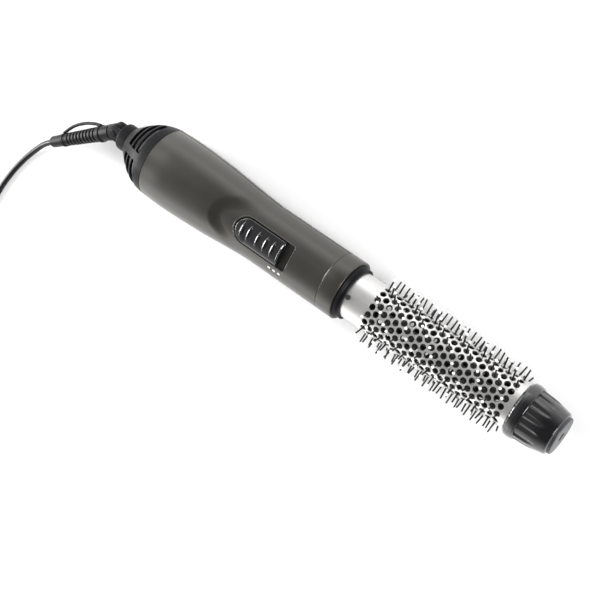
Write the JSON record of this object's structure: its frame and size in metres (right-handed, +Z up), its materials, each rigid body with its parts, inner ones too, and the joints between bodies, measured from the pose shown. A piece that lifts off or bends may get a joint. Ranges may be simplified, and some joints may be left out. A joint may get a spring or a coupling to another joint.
{
  "type": "hot air brush",
  "caption": "Corded hot air styling brush: slim round handle with fan, heater and slide switch, perforated metal barrel with ball-tipped bristles, cool tip and swivelling strain relief.",
  "frame": {"origin": "on the surface that the tool lies on, under the middle of its box without the cord and the pieces on it", "axes": "+X along the handle's axis towards the tip, +Z up through the switch"},
  "size_m": [0.5503, 0.206, 0.0508],
  "materials": {
    "handle_finish": "satin anthracite, faint metallic",
    "black_plastic": "satin black moulding",
    "inner_plastic": "heat resistant moulding",
    "gloss_black": "polished black",
    "bezel_grey": "satin grey",
    "mark_white": "printed",
    "barrel_metal": "satin",
    "bristle_nylon": "black nylon",
    "ball_white": "rounded tips",
    "disc_grey": "satin",
    "steel": "zinc plated",
    "magnet": "sintered",
    "copper": "bare",
    "mica": "mica sheet",
    "board": "phenolic board",
    "component_black": "moulded",
    "relief_rubber": "soft black",
    "cord_sheath": "smooth flexible sheath",
    "plug_plastic": "moulded",
    "plug_metal": "nickel plated"
  },
  "bodies": {
    "handle": {"upper_shell": "handle_finish", "lower_shell": "handle_finish", "housing_screws": "steel", "nose_sleeve": "handle_finish", "front_ring": "black_plastic", "barrel_socket": "inner_plastic", "rear_cap": "black_plastic", "inlet_filter": "inner_plastic", "motor_mount": "inner_plastic", "motor_can": "steel", "motor_magnets": "magnet", "motor_end_cap": "inner_plastic", "motor_terminals": "copper", "switch_bezel": "bezel_grey", "switch_plate": "handle_finish", "position_marks": "mark_white", "switch_body": "inner_plastic", "circuit_board": "board", "diodes": "component_black", "capacitor": "component_black", "heater_cross": "mica", "heater_wire": "steel", "mica_sleeve": "mica", "heater_support": "steel", "thermal_cutout": "steel", "barrel": "barrel_metal", "inner_collar": "steel", "barrel_screws": "steel", "bristle_sleeve": "bristle_nylon", "bristle_pins": "bristle_nylon", "ball_tips": "ball_white", "rod_spider": "inner_plastic", "tip_plug": "inner_plastic", "tip_cap": "gloss_black", "tip_disc": "disc_grey", "tie_rod": "steel", "swivel_socket": "inner_plastic", "contact_springs": "copper"},
    "power_slider": {"slide_button": "gloss_black", "switch_rider": "inner_plastic"},
    "fan": {"fan_impeller": "inner_plastic", "motor_shaft": "steel", "armature": "copper"},
    "cord_swivel": {"swivel_collar": "black_plastic", "contact_rings": "copper", "retaining_ring": "steel", "knuckle_pin": "steel"},
    "cord_elbow": {"elbow_arm": "black_plastic", "strain_relief": "relief_rubber", "hanging_loop": "black_plastic", "cord": "cord_sheath", "cord_coil": "cord_sheath", "cord_tail": "cord_sheath", "plug_body": "plug_plastic", "plug_pins": "plug_metal"}
  },
  "joints": [
    {"name": "power_slide", "type": "slide", "parent": "handle", "child": "power_slider", "axis": [1, 0, 0], "range_m": [0, 0.006]},
    {"name": "fan_spin", "type": "hinge", "parent": "handle", "child": "fan", "pos_m": [-0.1125, 0, 0.0254], "axis": [1, 0, 0], "continuous": true},
    {"name": "cord_turn", "type": "hinge", "parent": "handle", "child": "cord_swivel", "pos_m": [-0.1595, 0, 0.0254], "axis": [1, 0, 0], "continuous": true},
    {"name": "elbow_tilt", "type": "hinge", "parent": "cord_swivel", "child": "cord_elbow", "pos_m": [-0.1725, 0, 0.0254], "axis": [0, 0.3939, -0.9191], "range_deg": [-4.8, 79.2]}
  ]
}
